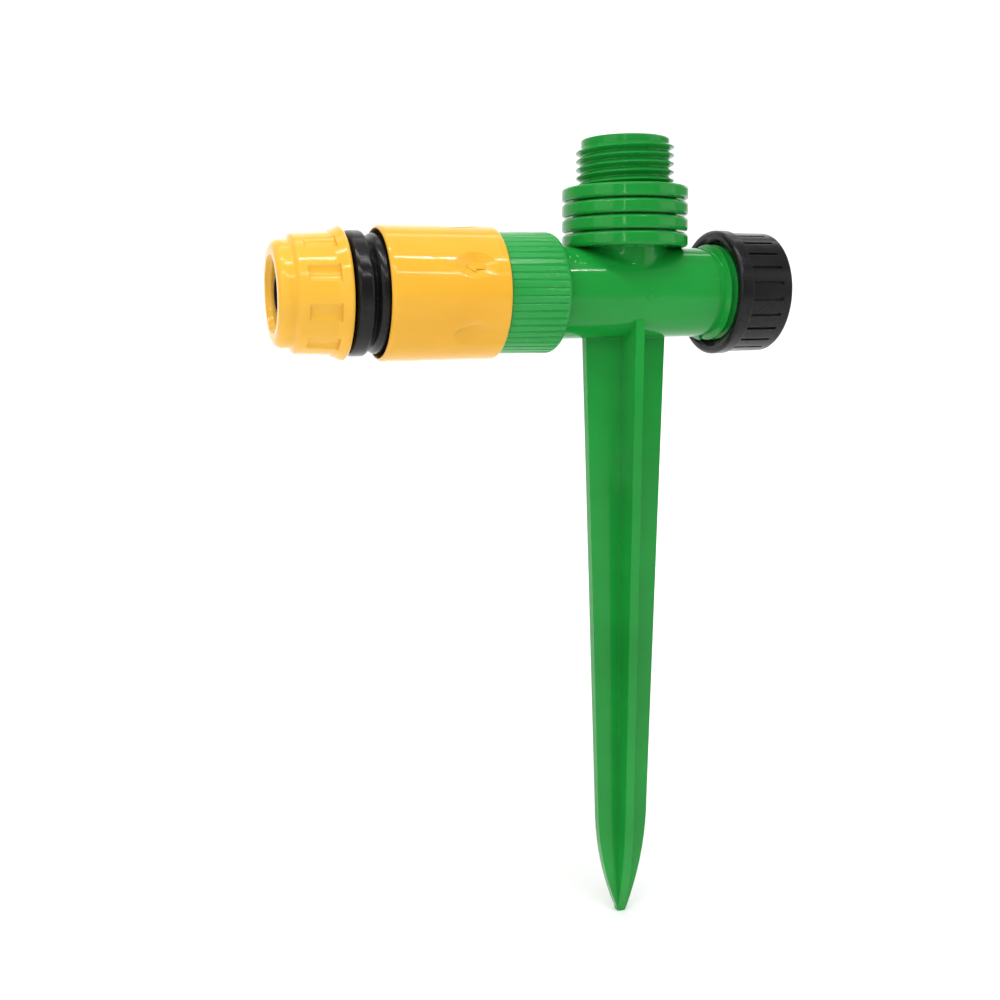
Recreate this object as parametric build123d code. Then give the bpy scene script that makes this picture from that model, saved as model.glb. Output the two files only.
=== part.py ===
from build123d import *
import os
from math import atan, ceil, cos, degrees, pi, radians, sin, tan

# Sprinkler base on a ground spike: a threaded tee, a hose quick connector and a screw-on end cap.
#
# The cross tube lies along X and the outlet neck stands along Z. The origin is on the spike's axis at ground
# level, where the tube's underside rests on the soil. Everything is drawn about the tube's own centre and
# lifted by the tube's radius when it is written. The connector line is drawn towards +X, as the end cap is,
# and turned half round the neck's axis, so its threads stay right-handed.

# ---- Clearances between pieces ----------------------------------------------------------------------
easy_gap = 0.3          # between pieces that only lie near each other
journal_gap = 0.08      # running fit that carries the swivelling connector
seal_gap = 0.05         # between a rubber seal and the wall that squeezes it on the real object
seat_gap = 0.1          # between flat faces that rest on each other
past = 1.0              # how far a cut or a joined shape runs past its face

# ---- Roundings and small chamfers -------------------------------------------------------------------
fine_edge = 0.3         # on edges that meet another piece
moulded_edge = 0.5      # on edges that are handled
broad_edge = 1.2        # on large outer corners

# ---- Hose thread, 3/4 inch garden hose size ---------------------------------------------------------
thread_pitch = 25.4 / 11.5
thread_major_r = 13.45
thread_depth = 1.35
thread_crest = 0.3      # flat on top of each ridge
thread_root_gap = 0.5   # radial room under the ridges in a nut or cap
female_gap = 0.25       # radial room outside the male crest
flank = tan(radians(30))
ridge_sink = 0.3        # how far a ridge's foot is buried in the wall that carries it
thread_lead_in = 0.6    # turns of plain wall before the first ridge's middle
thread_run_out = 0.4    # turns of plain wall after the last ridge
thread_stop = 1.0       # between a female thread's end and the washer

# ---- Tee --------------------------------------------------------------------------------------------
tube_r = 12.45
water_r = 9.3
tee_half_length = 35.0
shoulder_x = 23.5       # where the plain tube ends and each end thread starts
end_lead = 0.8          # chamfer on each threaded end
neck_r = 10.3
neck_blend = 3.0        # fillet from the neck into the tube
collar_r = 17.4
collar_bottom = 12.2
ring_count = 4
ring_pitch = 4.14
ring_groove = 0.5
ring_groove_depth = 3.0
ring_rounding = 0.9
outlet_length = 12.84   # threaded spigot above the collar
outlet_thread_drop = 0.41   # the first ridge starts this far below the collar's top
outlet_thread_turns = 5.2
gate_mark_along = 2.0   # the mould's gate mark on the front of the tube
gate_mark_up = -1.2
gate_mark_r = 1.1
gate_mark_height = 0.15

# ---- Ground spike -----------------------------------------------------------------------------------
fin_thickness = 2.7
fin_top_half = 12.25    # half width of the fins that lie along the tube, under it
fin_low_half = 8.05     # and where the point starts
cross_fin_top_half = 10.0   # the same for the fins that lie across the tube
cross_fin_low_half = 6.1
spike_length = 186.2    # from the tube's centre line to the tip
point_length = 35.3     # the curved point at the spike's end
point_bulge = 0.63      # half width part way down the point, as a share of its start
point_bulge_drop = 0.66 # and how far down that is, as a share of the point
fin_tip_half = 1.3
fin_tip_flat = 0.6
cross_fin_drop = 5.7    # the fins across the tube start this far below its centre line

# ---- Tap adaptor ------------------------------------------------------------------------------------
skirt_overhang = 1.2    # the skirt reaches past the tube's shoulder
adaptor_floor_wall = 1.8
skirt_wall = 2.5        # outside the thread that it screws on
skirt_draft = 0.25      # how much smaller the skirt is at its far end
skirt_rounding = 2.2
rib_count = 50
rib_depth = 0.45
washer_thickness = 2.4
washer_side_gap = 0.5   # between a washer and the wall round it
washer_inner_r = 8.4
adaptor_shoulder_r = 12.6
adaptor_shoulder = 2.2  # the nipple's own lengths, in order from the skirt
nipple_base = 1.8
nipple_neck = 5.5
nipple_collar = 2.3
nipple_taper = 1.8
nipple_nose = 8.5
nipple_neck_r = 6.4
nipple_collar_r = 8.2
nipple_nose_r = 6.5
nipple_bore_r = 3.8
o_ring_section_r = 0.95
o_ring_setback = 3.9    # from the nipple's end
o_ring_side_gap = 0.2

# ---- Connector body ---------------------------------------------------------------------------------
body_r = 13.2
socket_gap = 0.6        # between the adaptor's shoulder and the body's face
stop_rim = 1.4
stop_rim_slope = 0.5
socket_chamfer = 0.6
seal_lead = 1.3         # cone from the socket into the seal bore
nipple_end_room = 0.9
body_water_r = 4.3
spring_seat = 23.8      # from the body's face to the wide ring
wide_ring = 8.1
wide_ring_inset = 0.9   # how far the wide ring lies inside the sleeve's bore
ring_groove_depth_between = 1.4
front_ring = 5.3
between_rings = 1.2     # length of the slope that rises to the front ring
hose_thread_pitch = 3.0
hose_thread_root_r = 12.2
hose_thread_depth = 0.9
hose_thread_length = 8.6
hose_pocket_wall = 1.5
hose_pocket_floor = 1.2
tail_r = 6.15
tail_reach = 8.4        # how far the tail stands out past the thread
tail_barb = 0.35
tail_barb_count = 3
tail_barb_run = 0.7     # share of the barbs' spacing that a barb's long slope takes

# ---- Claws that hold the nipple, and the sleeve that frees them -------------------------------------
claw_count = 4
claw_length = 3.6
claw_width = 5.0
claw_free_gap = 0.15    # what a lifted claw clears the nipple's collar by
claw_window_gap = 0.2
sleeve_travel = 5.0
spring_room = 3.0       # between the body and the sleeve's bore
sleeve_wall = 1.2
sleeve_recess_wall = 1.0
sleeve_length = 31.45
sleeve_land_end = 14.05 # from the sleeve's back face to the spring
sleeve_mouth_rounding = 1.1
sleeve_back_rounding = 0.9
dimple_count = 6
dimple_setback = 9.45   # from the sleeve's back face
dimple_length = 11.0
dimple_width = 8.6
dimple_depth = 1.2
dimple_first_angle = 53.0
arrow_length = 5.2
arrow_width = 3.6
arrow_height = 0.35
recess_run = 0.5        # shortest plain stretch between the sleeve's back and its cam
spring_coils = 4
spring_wire_r = 0.6

# ---- Hose collet and hose nut -----------------------------------------------------------------------
collet_inner_r = 8.7
collet_wall = 1.6
collet_lip_wall = 0.4
collet_cone = 2.8
collet_slots = 8
collet_slot = 0.9
collet_ring = 3.7       # unslotted length at the collet's foot
nut_gap = 0.8           # between the front ring and the nut
nut_length = 17.7
nut_flare_r = 17.0
nut_flare_drop = 0.7    # what the flare's face lies inside its rim
nut_flare = 0.7         # the nut's own lengths, from its open end
nut_barrel_start = 3.6
nut_barrel_end = 12.8
nut_lip_start = 13.7
nut_barrel_r_start = 15.4
nut_barrel_r_end = 14.9
nut_lip_r = 13.5
nut_lip_rounding = 2.2
nut_mouth_r = 9.0
nut_mouth_length = 3.9  # the stretch that the hose goes in by
nut_mouth_rounding = 1.5
nut_thread_room = 0.8   # plain bore before the thread
nut_flutes = 10
flute_r = 4.0
flute_depth = 0.6
flute_start = 3.0       # from the nut's open end
flute_end = 10.8
flute_first_angle = 0.0

# ---- End cap ----------------------------------------------------------------------------------------
cap_turns_loose = 1.87  # how far the cap is unscrewed
cap_depth = 14.6        # from its rim to its floor
cap_floor = 2.5
cap_wall = 3.1          # outside the thread that it screws on
cap_rim_height = 0.65   # how far the rim stands out
cap_rim_width = 4.0
cap_rim_step = 0.4      # slope from the rim down to the body
cap_end_chamfer = 0.7
cap_mouth_flare = 1.8   # how much wider the mouth is than the thread's bore
cap_mouth_depth = 1.9
cap_grooves = 24
cap_groove_width = 0.8
cap_groove_depth = 0.6
cap_groove_setback = 3.0


def turned(corners, upright=False):
    """Solid turned about X, or Z when upright, from corners (distance along the axis, radius, rounding)."""
    points = [(c[1], 0, c[0]) if upright else (c[0], 0, c[1]) for c in corners]
    roundings = [c[2] if len(c) > 2 else 0 for c in corners]
    outline = FilletPolyline(*points, radius=roundings, close=True)
    return revolve(make_face(outline), Axis.Z if upright else Axis.X)


def around(count, first_angle, piece):
    """Copies of a piece spaced evenly about the X axis."""
    return [Rot(first_angle + 360 / count * i, 0, 0) * piece for i in range(count)]


def ridge(pitch, first, turns, root_r, crest_r, crest):
    """Helical ridge about Z. It stands out of radius root_r to crest_r, or inwards when crest_r is less."""
    rise = abs(crest_r - root_r)
    sink = ridge_sink if crest_r > root_r else -ridge_sink
    base_half = crest / 2 + (rise + ridge_sink) * flank
    foot_r = root_r - sink
    profile = make_face(
        Polyline(
            (foot_r, 0, first - base_half),
            (crest_r, 0, first - crest / 2),
            (crest_r, 0, first + crest / 2),
            (foot_r, 0, first + base_half),
            close=True,
        )
    )
    path = Helix(pitch, pitch * turns, root_r, center=(0, 0, first))
    return sweep(profile, path, is_frenet=True)


def along_tube(piece):
    """Turns a piece drawn about Z so that it lies about X."""
    return Rot(0, 90, 0) * piece


def connector_side(piece):
    """Turns a piece of the connector line from +X to -X."""
    return Rot(0, 0, 180) * piece


def save(name, piece):
    """Lifts a piece to ground level and writes it."""
    export_step(Pos(0, 0, tube_r) * piece, f"parts/{name}.step")


# ---- Sizes that follow ------------------------------------------------------------------------------
thread_root_r = thread_major_r - thread_depth
female_bore_r = thread_major_r + female_gap
female_crest_r = thread_root_r + thread_root_gap
washer_outer_r = female_bore_r - washer_side_gap
skirt_r_start = female_bore_r + skirt_wall
skirt_r_end = skirt_r_start - skirt_draft
cap_r = female_bore_r + cap_wall
cap_rim_r = cap_r + cap_rim_height
cap_mouth_r = female_bore_r + cap_mouth_flare
end_thread_first = shoulder_x + thread_pitch * thread_lead_in
end_thread_turns = (tee_half_length - end_lead - end_thread_first) / thread_pitch - thread_run_out
collar_top = collar_bottom + ring_count * ring_pitch - ring_groove
outlet_top = collar_top + outlet_length
outlet_thread_first = collar_top - outlet_thread_drop
fin_straight_end = point_length - spike_length

# Places along the connector line, from the spike's axis outwards.
skirt_start = shoulder_x - skirt_overhang
washer_start = tee_half_length + seat_gap
washer_end = washer_start + washer_thickness
adaptor_floor = washer_end + seat_gap
skirt_end = adaptor_floor + adaptor_floor_wall
adaptor_shoulder_end = skirt_end + adaptor_shoulder
nipple_base_end = adaptor_shoulder_end + nipple_base
nipple_neck_end = nipple_base_end + nipple_neck
nipple_collar_end = nipple_neck_end + nipple_collar
nipple_nose_start = nipple_collar_end + nipple_taper
nipple_end = nipple_nose_start + nipple_nose
o_ring_place = nipple_end - o_ring_setback
body_start = adaptor_shoulder_end + socket_gap
stop_rim_end = body_start + stop_rim
seal_bore_start = nipple_nose_start + easy_gap + seal_lead
seal_bore_end = nipple_end + nipple_end_room
wide_ring_start = body_start + spring_seat
wide_ring_end = wide_ring_start + wide_ring
front_ring_end = wide_ring_end + front_ring
hose_thread_end = front_ring_end + hose_thread_length
hose_pocket_start = front_ring_end + hose_pocket_floor
tail_end = hose_thread_end + tail_reach
claw_end = nipple_neck_end - 3 * easy_gap
claw_start = claw_end - claw_length
sleeve_start = skirt_end + easy_gap
sleeve_end = sleeve_start + sleeve_length
sleeve_step = sleeve_start + sleeve_land_end
collet_cone_start = hose_thread_end + 2 * easy_gap
collet_end = collet_cone_start + collet_cone
nut_start = front_ring_end + nut_gap
nut_end = nut_start + nut_length
nut_mouth_start = nut_end - nut_mouth_length

# Radii on the connector line.
body_bore_r = nipple_collar_r + journal_gap
seal_bore_r = nipple_nose_r + easy_gap
o_ring_middle_r = seal_bore_r - seal_gap - o_ring_section_r
sleeve_bore_r = body_r + spring_room
sleeve_r = sleeve_bore_r + sleeve_wall
sleeve_land_r = body_r + easy_gap
recess_r = sleeve_r - sleeve_recess_wall
spring_mean_r = (body_r + sleeve_bore_r) / 2
wide_ring_r = sleeve_bore_r - wide_ring_inset
front_ring_r = sleeve_bore_r - easy_gap
hose_thread_major_r = hose_thread_root_r + hose_thread_depth
hose_pocket_r = hose_thread_root_r - hose_pocket_wall
nut_bore_r = hose_thread_major_r + easy_gap
collet_outer_r = collet_inner_r + collet_wall
claw_nose_r = nipple_neck_r + easy_gap
claw_lift = nipple_collar_r - claw_nose_r + claw_free_gap
cam_slope = claw_lift / sleeve_travel

# The end cap: tight, its washer meets the tube's end.
cap_inner_floor = washer_end + seat_gap + cap_turns_loose * thread_pitch
cap_start = cap_inner_floor - cap_depth
cap_end = cap_inner_floor + cap_floor
cap_washer_start = cap_inner_floor - seat_gap - washer_thickness


def cam_r(distance):
    """Radius of the sleeve's cam cone at a distance along the connector line."""
    return sleeve_land_r + cam_slope * (claw_end - distance)


def rim_r(distance):
    """Radius of the body's stop rim: just inside the cam, or the recess where the cam is wider."""
    return min(cam_r(distance), recess_r) - easy_gap


# ---- Spike and tee: one moulding --------------------------------------------------------------------
def end_thread():
    return ridge(
        thread_pitch, end_thread_first, end_thread_turns, thread_root_r, thread_major_r, thread_crest
    )


def threaded_end():
    core = turned([
        (shoulder_x - past, 0), (shoulder_x - past, thread_root_r),
        (tee_half_length, thread_root_r, end_lead), (tee_half_length, 0),
    ])
    return core + along_tube(end_thread())


def collar():
    corners = [(collar_bottom, 0)]
    groove_r = collar_r - ring_groove_depth
    for i in range(ring_count):
        low = collar_bottom + i * ring_pitch
        high = low + ring_pitch - ring_groove
        corners += [(low, collar_r, ring_rounding), (high, collar_r, ring_rounding)]
        if i < ring_count - 1:
            corners += [(high, groove_r), (low + ring_pitch, groove_r)]
    corners.append((collar_top, 0))
    return turned(corners, upright=True)


def outlet():
    core = turned([
        (collar_top - past, 0), (collar_top - past, thread_root_r), (outlet_top, thread_root_r, moulded_edge),
        (outlet_top, 0),
    ], upright=True)
    thread = ridge(
        thread_pitch, outlet_thread_first, outlet_thread_turns, thread_root_r, thread_major_r, thread_crest
    )
    return core + thread


def fin_pair(top, tube_half, low_half):
    """Two opposite fins in the XZ plane. Half the outline runs from the axis out and down to the tip."""
    slope = (tube_half - low_half) / (-tube_r - fin_straight_end)
    top_half = tube_half + slope * (top + tube_r)
    edge = Polyline((0, top), (top_half, top), (low_half, fin_straight_end))
    point_end = (fin_tip_half, fin_tip_flat - spike_length)
    point = ThreePointArc(
        (low_half, fin_straight_end),
        (low_half * point_bulge, fin_straight_end - point_length * point_bulge_drop),
        point_end,
    )
    close = Polyline(point_end, (fin_tip_half - fin_tip_flat, -spike_length), (0, -spike_length), (0, top))
    half = make_face(edge + point + close)
    sheet = Plane.XZ * (half + mirror(half, Plane.YZ))
    return extrude(sheet, fin_thickness / 2, both=True)


def spike():
    along_the_tube = fin_pair(-tube_r / 2, fin_top_half, fin_low_half)
    across_the_tube = Rot(0, 0, 90) * fin_pair(-cross_fin_drop, cross_fin_top_half, cross_fin_low_half)
    return along_the_tube + across_the_tube


def spike_tee():
    tube = Rot(0, 90, 0) * Cylinder(tube_r, 2 * shoulder_x)
    neck = Cylinder(neck_r, collar_top, align=(Align.CENTER, Align.CENTER, Align.MIN))
    blended = tube + neck
    joint_edges = [
        edge for edge in blended.edges()
        if edge.geom_type not in (GeomType.CIRCLE, GeomType.LINE) and edge.center().Z > 0
    ]
    blended = fillet(joint_edges, neck_blend)
    solid = blended + collar() + outlet() + spike() + threaded_end() + connector_side(threaded_end())
    mark = Pos(gate_mark_along, -tube_r, gate_mark_up) * Rot(90, 0, 0) * Cylinder(gate_mark_r, 2 * past)
    solid += mark & (Rot(0, 90, 0) * Cylinder(tube_r + gate_mark_height, 2 * shoulder_x))
    solid -= Rot(0, 90, 0) * Cylinder(water_r, 3 * tee_half_length)
    solid -= Cylinder(water_r, 2 * outlet_top, align=(Align.CENTER, Align.CENTER, Align.MIN))
    return solid


# ---- Tap adaptor, its washer and its O-ring ---------------------------------------------------------
def rib_wheel(outer_r):
    """Disc section with rounded ribs round its edge."""
    step = 2 * pi / rib_count
    valley_r = outer_r - rib_depth
    outline = []
    for i in range(rib_count):
        start, middle, end = (i - 0.5) * step, i * step, (i + 0.5) * step
        stations = ((valley_r, start), (outer_r, middle), (valley_r, end))
        outline.append(ThreePointArc(*[(r * cos(a), r * sin(a)) for r, a in stations]))
    return make_face(outline)


def tap_adaptor():
    wheel = Plane.YZ * rib_wheel(skirt_r_start)
    ribbed = Pos(skirt_start, 0, 0) * extrude(wheel, skirt_end - skirt_start)
    envelope = turned([
        (skirt_start, 0), (skirt_start, skirt_r_start, skirt_rounding), (skirt_end, skirt_r_end, fine_edge),
        (skirt_end, 0),
    ])
    nipple = turned([
        (adaptor_floor, 0), (adaptor_floor, adaptor_shoulder_r),
        (adaptor_shoulder_end, adaptor_shoulder_r, moulded_edge), (adaptor_shoulder_end, nipple_collar_r),
        (nipple_base_end, nipple_collar_r, fine_edge), (nipple_base_end, nipple_neck_r),
        (nipple_neck_end, nipple_neck_r), (nipple_neck_end, nipple_collar_r, fine_edge),
        (nipple_collar_end, nipple_collar_r, moulded_edge), (nipple_nose_start, nipple_nose_r),
        (nipple_end, nipple_nose_r, moulded_edge), (nipple_end, 0),
    ])
    groove_half = o_ring_section_r + o_ring_side_gap
    groove_r = o_ring_middle_r - o_ring_section_r - seal_gap
    o_ring_groove = turned([
        (o_ring_place - groove_half, groove_r), (o_ring_place - groove_half, nipple_nose_r + past),
        (o_ring_place + groove_half, nipple_nose_r + past), (o_ring_place + groove_half, groove_r),
    ])
    inside = turned([
        (skirt_start - past, 0), (skirt_start - past, female_bore_r), (adaptor_floor, female_bore_r),
        (adaptor_floor, nipple_bore_r), (nipple_end + past, nipple_bore_r), (nipple_end + past, 0),
    ])
    relief_r = max(female_bore_r, tube_r + easy_gap)
    over_tube = turned([
        (skirt_start - past, 0), (skirt_start - past, relief_r), (shoulder_x + easy_gap, relief_r),
        (shoulder_x + easy_gap, 0),
    ])
    first = end_thread_first + thread_pitch / 2
    turns = (washer_start - thread_stop - first) / thread_pitch
    thread = ridge(thread_pitch, first, turns, female_bore_r, female_crest_r, thread_crest)
    return (ribbed & envelope) + nipple - o_ring_groove - inside - over_tube + along_tube(thread)


def washer(start):
    return turned([
        (start, washer_inner_r, fine_edge), (start, washer_outer_r, fine_edge),
        (start + washer_thickness, washer_outer_r, fine_edge),
        (start + washer_thickness, washer_inner_r, fine_edge),
    ])


def nipple_o_ring():
    return Pos(o_ring_place, 0, 0) * Rot(0, 90, 0) * Torus(o_ring_middle_r, o_ring_section_r)


# ---- Connector body ---------------------------------------------------------------------------------
def connector_body():
    outside = turned([
        (body_start, 0), (body_start, rim_r(body_start), fine_edge),
        (stop_rim_end, rim_r(stop_rim_end)), (stop_rim_end + stop_rim_slope, body_r),
        (wide_ring_start, body_r), (wide_ring_start, wide_ring_r, fine_edge),
        (wide_ring_end - ring_groove_depth_between, wide_ring_r, broad_edge),
        (wide_ring_end, wide_ring_r - ring_groove_depth_between),
        (wide_ring_end + between_rings, front_ring_r, broad_edge),
        (front_ring_end, front_ring_r, broad_edge),
        (front_ring_end, hose_thread_root_r), (hose_thread_end, hose_thread_root_r, moulded_edge),
        (hose_thread_end, 0),
    ])
    thread_first = front_ring_end + thread_lead_in * hose_thread_pitch
    turns = (hose_thread_end - thread_first) / hose_thread_pitch - thread_run_out
    thread = ridge(
        hose_thread_pitch, thread_first, turns, hose_thread_root_r, hose_thread_major_r, thread_crest
    )
    socket = turned([
        (body_start - past, 0), (body_start - past, body_bore_r + socket_chamfer),
        (body_start, body_bore_r + socket_chamfer), (body_start + socket_chamfer, body_bore_r),
        (nipple_nose_start + easy_gap, body_bore_r), (seal_bore_start, seal_bore_r),
        (seal_bore_end, seal_bore_r), (seal_bore_end, 0),
    ])
    pocket = turned([
        (hose_pocket_start, 0), (hose_pocket_start, hose_pocket_r, moulded_edge),
        (hose_thread_end + past, hose_pocket_r), (hose_thread_end + past, 0),
    ])
    barb_pitch = (tail_end - hose_pocket_start) / (tail_barb_count + 1)
    tail_core_r = tail_r - tail_barb
    tail_corners = [(hose_pocket_start - past, 0), (hose_pocket_start - past, tail_core_r)]
    for i in range(tail_barb_count):
        top = hose_pocket_start + barb_pitch * (i + 1)
        tail_corners += [(top, tail_core_r), (top, tail_r), (top + barb_pitch * tail_barb_run, tail_core_r)]
    tail_corners += [(tail_end, tail_core_r, fine_edge), (tail_end, 0)]
    waterway = Pos((seal_bore_end + tail_end) / 2, 0, 0) * Rot(0, 90, 0) * Cylinder(
        body_water_r, tail_end - seal_bore_end + 2 * past
    )
    window = Pos(
        (claw_start + claw_end) / 2, 0, (body_bore_r + body_r) / 2
    ) * Box(claw_end - claw_start + 2 * claw_window_gap, claw_width + 2 * claw_window_gap, body_r)
    solid = outside + along_tube(thread) - socket - pocket + turned(tail_corners) - waterway
    for cut in around(claw_count, 0, window):
        solid -= cut
    return solid


def claw():
    """One claw, drawn straight above the axis: its nose lies in the nipple's neck."""
    blank = turned([
        (claw_start, claw_nose_r), (claw_start, cam_r(claw_start) - easy_gap, fine_edge),
        (claw_end, cam_r(claw_end) - easy_gap, fine_edge), (claw_end, claw_nose_r),
    ])
    sector = Box(claw_length + 2 * past, claw_width, sleeve_r)
    return blank & (Pos((claw_start + claw_end) / 2, 0, sleeve_r / 2) * sector)


# ---- Release sleeve and its spring ------------------------------------------------------------------
def dimple_cutter():
    """Finger scoop above the axis: an ellipsoid let into the sleeve."""
    half_width = dimple_width / 2
    ball_r = (half_width ** 2 + dimple_depth ** 2) / (2 * dimple_depth)
    stretch = dimple_length / dimple_width
    ball = scale(Sphere(ball_r), by=(stretch, 1, 1))
    return Pos(sleeve_start + dimple_setback, 0, sleeve_r + ball_r - dimple_depth) * ball


def arrow():
    """Raised arrow on a scoop's floor, pointing along the sleeve's release travel."""
    head, shaft = arrow_length / 2, arrow_width / 4
    outline = Polyline(
        (head, 0), (0, arrow_width / 2), (0, shaft), (-head, shaft),
        (-head, -shaft), (0, -shaft), (0, -arrow_width / 2), close=True,
    )
    floor_r = sleeve_r - dimple_depth
    block = extrude(make_face(outline), dimple_depth)
    return Pos(sleeve_start + dimple_setback, 0, floor_r + arrow_height - dimple_depth) * block


def release_sleeve():
    cone_start = max(claw_end - (recess_r - sleeve_land_r) / cam_slope, sleeve_start + recess_run)
    solid = turned([
        (sleeve_start, recess_r), (sleeve_start, sleeve_r, sleeve_back_rounding),
        (sleeve_end, sleeve_r, sleeve_mouth_rounding), (sleeve_end, sleeve_bore_r, fine_edge),
        (sleeve_step, sleeve_bore_r), (sleeve_step, sleeve_land_r),
        (claw_end, sleeve_land_r), (cone_start, cam_r(cone_start)),
    ])
    for cut in around(dimple_count, dimple_first_angle, dimple_cutter()):
        solid -= cut
    for piece in around(dimple_count // 2, dimple_first_angle, arrow()):
        solid += piece
    return solid


def sleeve_spring():
    start = sleeve_step + spring_wire_r + seat_gap
    end = wide_ring_start - spring_wire_r - seat_gap
    path = Helix((end - start) / spring_coils, end - start, spring_mean_r)
    wire = sweep(Plane(path @ 0, z_dir=path % 0) * Circle(spring_wire_r), path, is_frenet=True)
    return Pos(start, 0, 0) * along_tube(wire)


# ---- Hose collet and nut ----------------------------------------------------------------------------
def hose_collet():
    start = hose_pocket_start + easy_gap
    end_r = collet_inner_r + collet_lip_wall
    ring = turned([
        (start, collet_inner_r), (start, collet_outer_r, fine_edge), (collet_cone_start, collet_outer_r),
        (collet_end, end_r), (collet_end, collet_inner_r),
    ])
    slot_length = collet_end + past - start - collet_ring
    slot = Pos(start + collet_ring + slot_length / 2, 0, collet_outer_r) * Box(
        slot_length, collet_slot, 2 * collet_outer_r
    )
    for cut in around(collet_slots, 0, slot):
        ring -= cut
    return ring


def flute():
    """One shallow channel above the axis, laid along the barrel's taper."""
    length = flute_end - flute_start
    taper = atan((nut_barrel_r_start - nut_barrel_r_end) / (nut_barrel_end - nut_barrel_start))
    middle_r = (nut_barrel_r_start + nut_barrel_r_end) / 2
    place = Pos(nut_start + (flute_start + flute_end) / 2, 0, middle_r + flute_r - flute_depth)
    return place * Rot(0, degrees(taper), 0) * Rot(0, 90, 0) * Cylinder(flute_r, length)


def hose_nut():
    outside = turned([
        (nut_start, 0), (nut_start, nut_flare_r - nut_flare_drop, fine_edge),
        (nut_start + nut_flare, nut_flare_r, moulded_edge),
        (nut_start + nut_barrel_start, nut_barrel_r_start, broad_edge),
        (nut_start + nut_barrel_end, nut_barrel_r_end, moulded_edge),
        (nut_start + nut_lip_start, nut_lip_r, moulded_edge), (nut_end, nut_lip_r, nut_lip_rounding),
        (nut_end, 0),
    ])
    chamfer_end = nut_start + nut_thread_room
    flared_mouth_r = nut_mouth_r + nut_mouth_rounding / 2
    inside = turned([
        (nut_start - past, 0), (nut_start - past, nut_bore_r + moulded_edge),
        (nut_start, nut_bore_r + moulded_edge), (chamfer_end, nut_bore_r),
        (hose_thread_end + moulded_edge, nut_bore_r), (collet_cone_start, collet_outer_r + 2 * easy_gap),
        (nut_mouth_start, nut_mouth_r), (nut_end - nut_mouth_rounding, nut_mouth_r),
        (nut_end, flared_mouth_r), (nut_end + past, flared_mouth_r), (nut_end + past, 0),
    ])
    solid = outside
    for cut in around(nut_flutes, flute_first_angle, flute()):
        solid -= cut
    first = front_ring_end + (1 + thread_run_out / 4) * hose_thread_pitch
    turns = (hose_thread_end - first) / hose_thread_pitch - thread_run_out / 4
    thread = ridge(hose_thread_pitch, first, turns, nut_bore_r, hose_thread_root_r + easy_gap, thread_crest)
    return solid - inside + along_tube(thread)


# ---- End cap ----------------------------------------------------------------------------------------
def end_cap():
    solid = turned([
        (cap_start, 0), (cap_start, cap_rim_r, broad_edge), (cap_start + cap_rim_width, cap_rim_r, fine_edge),
        (cap_start + cap_rim_width + cap_rim_step, cap_r), (cap_end, cap_r, cap_end_chamfer), (cap_end, 0),
    ])
    groove_start = cap_start + cap_rim_width + cap_rim_step
    groove_end = cap_end - cap_groove_setback
    groove = Pos((groove_start + groove_end) / 2, 0, cap_r) * Box(
        groove_end - groove_start, cap_groove_width, 2 * cap_groove_depth
    )
    for cut in around(cap_grooves, 360 / cap_grooves / 2, groove):
        solid -= cut
    inside = turned([
        (cap_start - past, 0), (cap_start - past, cap_mouth_r), (cap_start, cap_mouth_r, fine_edge),
        (cap_start + cap_mouth_depth, female_bore_r), (cap_inner_floor, female_bore_r, moulded_edge),
        (cap_inner_floor, 0),
    ])
    between_ridges = end_thread_first + thread_pitch / 2
    whole_turns = ceil((cap_start + cap_mouth_depth + moulded_edge - between_ridges) / thread_pitch)
    first = between_ridges + whole_turns * thread_pitch
    turns = (cap_washer_start - thread_stop - first) / thread_pitch
    thread = ridge(thread_pitch, first, turns, female_bore_r, female_crest_r, thread_crest)
    return solid - inside + along_tube(thread)


# ---- Write every piece ------------------------------------------------------------------------------
os.makedirs("parts", exist_ok=True)
save("spike_tee", spike_tee())
save("end_cap", end_cap())
save("end_cap_washer", washer(cap_washer_start))
save("adaptor_washer", connector_side(washer(washer_start)))
save("tap_adaptor", connector_side(tap_adaptor()))
save("nipple_o_ring", connector_side(nipple_o_ring()))
save("connector_body", connector_side(connector_body()))
for number, piece in enumerate(around(claw_count, 0, claw()), 1):
    save(f"lock_claw_{number}", connector_side(piece))
save("release_sleeve", connector_side(release_sleeve()))
save("sleeve_spring", connector_side(sleeve_spring()))
save("hose_collet", connector_side(hose_collet()))
save("hose_nut", connector_side(hose_nut()))
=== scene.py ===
"""Looks for the sprinkler base: moulded plastics, rubber and spring steel under soft studio light."""

from math import cos, pi, sin

import bpy
from mathutils import Matrix, Vector


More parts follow.
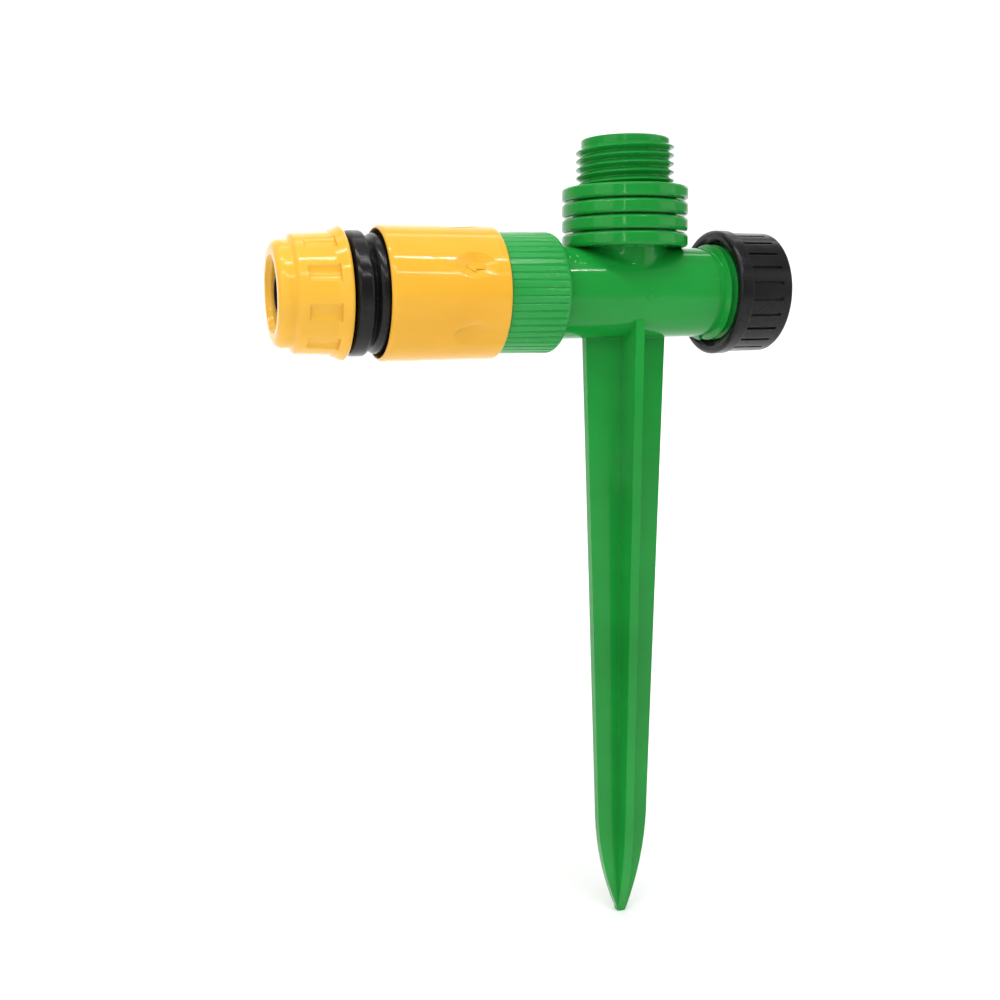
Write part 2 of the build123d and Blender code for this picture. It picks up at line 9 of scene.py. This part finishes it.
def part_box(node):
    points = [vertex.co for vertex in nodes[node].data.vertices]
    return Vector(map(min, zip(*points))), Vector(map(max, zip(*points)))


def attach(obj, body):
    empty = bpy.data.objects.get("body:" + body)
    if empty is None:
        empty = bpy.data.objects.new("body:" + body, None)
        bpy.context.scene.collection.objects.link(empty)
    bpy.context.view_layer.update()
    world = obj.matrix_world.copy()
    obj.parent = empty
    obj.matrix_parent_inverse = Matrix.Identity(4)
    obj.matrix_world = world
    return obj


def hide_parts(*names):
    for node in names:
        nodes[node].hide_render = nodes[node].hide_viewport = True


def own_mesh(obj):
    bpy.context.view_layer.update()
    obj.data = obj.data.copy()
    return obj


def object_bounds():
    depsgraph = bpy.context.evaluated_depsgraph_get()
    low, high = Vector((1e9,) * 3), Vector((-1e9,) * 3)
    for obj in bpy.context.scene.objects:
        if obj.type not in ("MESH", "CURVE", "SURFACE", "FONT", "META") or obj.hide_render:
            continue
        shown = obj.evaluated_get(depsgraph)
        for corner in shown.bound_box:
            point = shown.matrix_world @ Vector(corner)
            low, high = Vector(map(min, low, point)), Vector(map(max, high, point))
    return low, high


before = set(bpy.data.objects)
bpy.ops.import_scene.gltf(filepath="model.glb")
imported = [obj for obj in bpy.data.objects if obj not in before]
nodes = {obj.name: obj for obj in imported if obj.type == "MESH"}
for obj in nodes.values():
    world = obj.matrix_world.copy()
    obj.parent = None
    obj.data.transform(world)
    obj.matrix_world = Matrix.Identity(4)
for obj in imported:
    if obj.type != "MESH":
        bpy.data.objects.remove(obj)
cad_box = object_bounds()
MM = 0.001


# ---- Node helpers ------------------------------------------------------------------------------------
class Nodes:
    """Small wrapper that adds shader nodes to one material and links them."""

    def __init__(self, name):
        self.material = bpy.data.materials.new(name)
        self.material.use_nodes = True
        self.tree = self.material.node_tree
        self.shader = self.tree.nodes["Principled BSDF"]
        coordinates = self.tree.nodes.new("ShaderNodeTexCoord")
        self.place = coordinates.outputs["Object"]

    def add(self, kind, **settings):
        node = self.tree.nodes.new(kind)
        for key, value in settings.items():
            if key in node.inputs:
                node.inputs[key].default_value = value
            else:
                setattr(node, key, value)
        return node

    def link(self, output, target):
        self.tree.links.new(output, target)

    def noise(self, size_mm, detail=3.0, roughness=0.5, stretch=(1, 1, 1)):
        """Noise whose blobs are about size_mm across, stretched along each axis."""
        mapping = self.add("ShaderNodeMapping")
        mapping.inputs["Scale"].default_value = [1 / s for s in stretch]
        self.link(self.place, mapping.inputs["Vector"])
        noise = self.add("ShaderNodeTexNoise", Scale=1 / (size_mm * MM), Detail=detail, Roughness=roughness)
        self.link(mapping.outputs["Vector"], noise.inputs["Vector"])
        return noise.outputs["Fac"]

    def ramp(self, source, low, high, start=0.35, end=0.65):
        """Colour or grey ramp from low to high."""
        ramp = self.add("ShaderNodeValToRGB")
        ramp.color_ramp.elements[0].position = start
        ramp.color_ramp.elements[1].position = end
        ramp.color_ramp.elements[0].color = (*low, 1) if isinstance(low, tuple) else (low, low, low, 1)
        ramp.color_ramp.elements[1].color = (*high, 1) if isinstance(high, tuple) else (high, high, high, 1)
        self.link(source, ramp.inputs["Fac"])
        return ramp.outputs["Color"]

    def mix(self, factor, first, second, blend="MIX"):
        """Blend of two colour outputs."""
        node = self.add("ShaderNodeMix", data_type="RGBA", blend_type=blend)
        if isinstance(factor, float):
            node.inputs[0].default_value = factor
        else:
            self.link(factor, node.inputs[0])
        self.link(first, node.inputs[6])
        self.link(second, node.inputs[7])
        return node.outputs[2]

    def bump(self, layers, edge_mm=0.0):
        """Chain of bumps over softened edges. Each layer is (height output, depth in mm)."""
        previous = None
        if edge_mm:
            edge = self.add("ShaderNodeBevel", samples=4, Radius=edge_mm * MM)
            previous = edge.outputs["Normal"]
        for height, depth_mm in layers:
            bump = self.add("ShaderNodeBump", Strength=1.0, Distance=depth_mm * MM)
            self.link(height, bump.inputs["Height"])
            if previous is not None:
                self.link(previous, bump.inputs["Normal"])
            previous = bump.outputs["Normal"]
        self.link(previous, self.shader.inputs["Normal"])


def moulded_plastic(name, colour, shade, gloss=(0.06, 0.12), peel=0.006, scuffs=0.12, edge_mm=0.35):
    """Injection-moulded plastic: soft colour drift, faint flow marks, surface waviness and light scuffs."""
    mat = Nodes(name)
    drift = mat.ramp(mat.noise(38, 2.0), shade, colour, 0.3, 0.7)
    flow = mat.ramp(mat.noise(9, 4.0, 0.6, stretch=(3, 1, 1)), 0.9, 1.0, 0.3, 0.6)
    mat.link(mat.mix(0.55, drift, mat.mix(1.0, drift, flow, "MULTIPLY")), mat.shader.inputs["Base Color"])
    haze = mat.ramp(mat.noise(14, 5.0, 0.65), gloss[0], gloss[1], 0.35, 0.7)
    scratch = mat.ramp(mat.noise(0.35, 2.0, 0.5, stretch=(18, 1.2, 1)), 0.0, scuffs, 0.68, 0.76)
    rough = mat.add("ShaderNodeMath", operation="ADD", use_clamp=True)
    mat.link(haze, rough.inputs[0])
    mat.link(scratch, rough.inputs[1])
    mat.link(rough.outputs[0], mat.shader.inputs["Roughness"])
    mat.bump([(mat.noise(6.5, 2.0), peel * 5), (mat.noise(0.7, 2.0), peel * 0.3)], edge_mm)
    mat.shader.inputs["IOR"].default_value = 1.5
    mat.shader.inputs["Specular IOR Level"].default_value = 0.3
    return mat.material


def seal_rubber(name):
    """Matt black rubber with a fine grain and pale bloom."""
    mat = Nodes(name)
    bloom = mat.ramp(mat.noise(3, 5.0, 0.7), (0.012, 0.012, 0.013), (0.035, 0.035, 0.037), 0.4, 0.75)
    mat.link(bloom, mat.shader.inputs["Base Color"])
    mat.link(mat.ramp(mat.noise(1.2, 3.0), 0.55, 0.8), mat.shader.inputs["Roughness"])
    mat.bump([(mat.noise(0.25, 3.0), 0.02)])
    return mat.material


def drawn_wire(name):
    """Spring steel wire with drawing lines and small stains."""
    mat = Nodes(name)
    stain = mat.ramp(mat.noise(2.2, 4.0, 0.6), (0.36, 0.35, 0.34), (0.62, 0.62, 0.63), 0.3, 0.6)
    mat.link(stain, mat.shader.inputs["Base Color"])
    mat.link(mat.ramp(mat.noise(0.6, 3.0), 0.22, 0.42), mat.shader.inputs["Roughness"])
    mat.shader.inputs["Metallic"].default_value = 1.0
    mat.bump([(mat.noise(0.3, 2.0, 0.5, stretch=(1, 8, 8)), 0.008)])
    return mat.material


# ---- Materials on the carried-over pieces --------------------------------------------------------------
green = moulded_plastic("green_plastic", (0.013, 0.33, 0.045), (0.008, 0.26, 0.032))
green_ribbed = moulded_plastic("green_ribbed_plastic", (0.03, 0.39, 0.075), (0.02, 0.33, 0.058), (0.2, 0.3))
yellow = moulded_plastic("yellow_plastic", (0.93, 0.50, 0.045), (0.87, 0.44, 0.034))
yellow_nut = moulded_plastic("yellow_nut_plastic", (0.93, 0.51, 0.05), (0.87, 0.45, 0.037), (0.1, 0.18))
black_body = moulded_plastic("black_body_plastic", (0.006, 0.006, 0.006), (0.003, 0.003, 0.003), (0.18, 0.32))
black_cap = moulded_plastic("black_cap_plastic", (0.005, 0.005, 0.006), (0.002, 0.002, 0.003), (0.2, 0.34))
claw_plastic = moulded_plastic("claw_plastic", (0.6, 0.59, 0.56), (0.5, 0.49, 0.46), (0.35, 0.5))
rubber = seal_rubber("seal_rubber")
wire = drawn_wire("spring_steel")

finishes = {
    "spike_tee": green,
    "tap_adaptor": green_ribbed,
    "release_sleeve": yellow,
    "hose_nut": yellow_nut,
    "connector_body": black_body,
    "hose_collet": black_body,
    "end_cap": black_cap,
    "end_cap_washer": rubber,
    "adaptor_washer": rubber,
    "nipple_o_ring": rubber,
    "sleeve_spring": wire,
    "lock_claw_1": claw_plastic,
    "lock_claw_2": claw_plastic,
    "lock_claw_3": claw_plastic,
    "lock_claw_4": claw_plastic,
}
for name, material in finishes.items():
    mesh = nodes[name].data
    mesh.materials.clear()
    mesh.materials.append(material)

floor_height = cad_box[0].z
body_low, body_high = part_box("connector_body")
tee_centre = Vector((0, 0, (body_low.z + body_high.z) / 2))


# ---- Return spring ---------------------------------------------------------------------------------------
def return_spring():
    """The spring's coils copied into a piece of their own on the connector body; the carried-over spring is
    hidden.
    """
    coils = bpy.data.objects.new("return_spring", nodes["sleeve_spring"].data.copy())
    bpy.context.scene.collection.objects.link(coils)
    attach(coils, "connector")
    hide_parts("sleeve_spring")
    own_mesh(coils)


return_spring()

# ---- Studio ----------------------------------------------------------------------------------------------


def studio_surface(name, outline, width, material):
    """Sheet swept sideways from an outline of (y, z) points."""
    vertices = [(x, y, z) for y, z in outline for x in (-width / 2, width / 2)]
    faces = [(2 * i, 2 * i + 1, 2 * i + 3, 2 * i + 2) for i in range(len(outline) - 1)]
    mesh = bpy.data.meshes.new(name)
    mesh.from_pydata(vertices, [], faces)
    for polygon in mesh.polygons:
        polygon.use_smooth = True
    mesh.materials.append(material)
    sheet = bpy.data.objects.new(name, mesh)
    bpy.context.scene.collection.objects.link(sheet)


def pale_paper():
    mat = Nodes("studio_paper")
    tone = mat.ramp(mat.noise(400, 2.0), (0.93, 0.93, 0.935), (0.96, 0.96, 0.96))
    mat.link(tone, mat.shader.inputs["Base Color"])
    mat.shader.inputs["Roughness"].default_value = 0.9
    mat.shader.inputs["Specular IOR Level"].default_value = 0.1
    return mat.material


def floor_and_backdrop():
    """Plain pale floor that curves up behind the object."""
    curve_r, back, reach = 0.6, 1.6, 2.2
    backdrop_height, width, steps = 2.6, 6.0, 12
    outline = [(-reach, floor_height), (back - curve_r, floor_height)]
    for i in range(1, steps + 1):
        angle = i / steps * pi / 2
        outline.append((back - curve_r + curve_r * sin(angle), floor_height + curve_r * (1 - cos(angle))))
    outline.append((back, floor_height + backdrop_height))
    studio_surface("studio_floor", outline, width, pale_paper())


def softbox(name, place, aim, size, power, shape_ratio=1.0):
    """Area light at a place, turned to a point."""
    light = bpy.data.lights.new(name, "AREA")
    light.shape = "RECTANGLE"
    light.size, light.size_y = size, size * shape_ratio
    light.energy = power
    lamp = bpy.data.objects.new(name, light)
    lamp.location = place
    lamp.rotation_euler = (Vector(aim) - Vector(place)).to_track_quat("-Z", "Y").to_euler()
    bpy.context.scene.collection.objects.link(lamp)


def studio_light():
    world = bpy.data.worlds.new("studio")
    bpy.context.scene.world = world
    world.use_nodes = True
    world.node_tree.nodes["Background"].inputs["Color"].default_value = (1.0, 1.0, 1.0, 1)
    world.node_tree.nodes["Background"].inputs["Strength"].default_value = 0.35
    softbox("strip_high", (-0.13, -0.255, 0.75), tee_centre, 1.3, 4.2, 0.006)
    softbox("strip_front", (-0.27, -0.54, 0.52), tee_centre, 1.3, 1.9, 0.005)
    softbox("strip_upright", (-0.34, -0.67, 0.10), tee_centre, 0.006, 0.6, 160.0)
    softbox("side_left", (-0.95, -0.45, 0.25), tee_centre, 0.7, 1.4)
    softbox("side_right", (0.85, -0.55, 0.25), tee_centre, 0.7, 1.3)
    softbox("overhead", (0.0, -0.1, 1.2), tee_centre, 1.2, 1.6)
    softbox("backdrop_wash", (0.6, 0.5, 1.1), (0.6, 1.6, 0.5), 2.6, 26.0, 0.6)


def camera():
    """Camera at the picture's viewing angle: close, a little left of square on, looking slightly down."""
    data = bpy.data.cameras.new("view")
    data.sensor_width = 36.0
    data.lens = 39.14
    data.clip_start, data.clip_end = 0.01, 20.0
    cam = bpy.data.objects.new("view", data)
    bpy.context.scene.collection.objects.link(cam)
    turn, tip, lean = -0.3544, -0.1655, 0.0122
    facing = Matrix.Rotation(turn, 4, "Z") @ Matrix.Rotation(tip, 4, "X") @ Matrix.Rotation(lean, 4, "Y")
    place = Matrix.Translation(tee_centre + Vector((-140.6, -278.0, -6.6)) * MM)
    cam.matrix_world = place @ facing @ Matrix.Rotation(pi / 2, 4, "X")
    bpy.context.scene.camera = cam


floor_and_backdrop()
studio_light()
camera()
bpy.context.scene.view_settings.view_transform = "Standard"
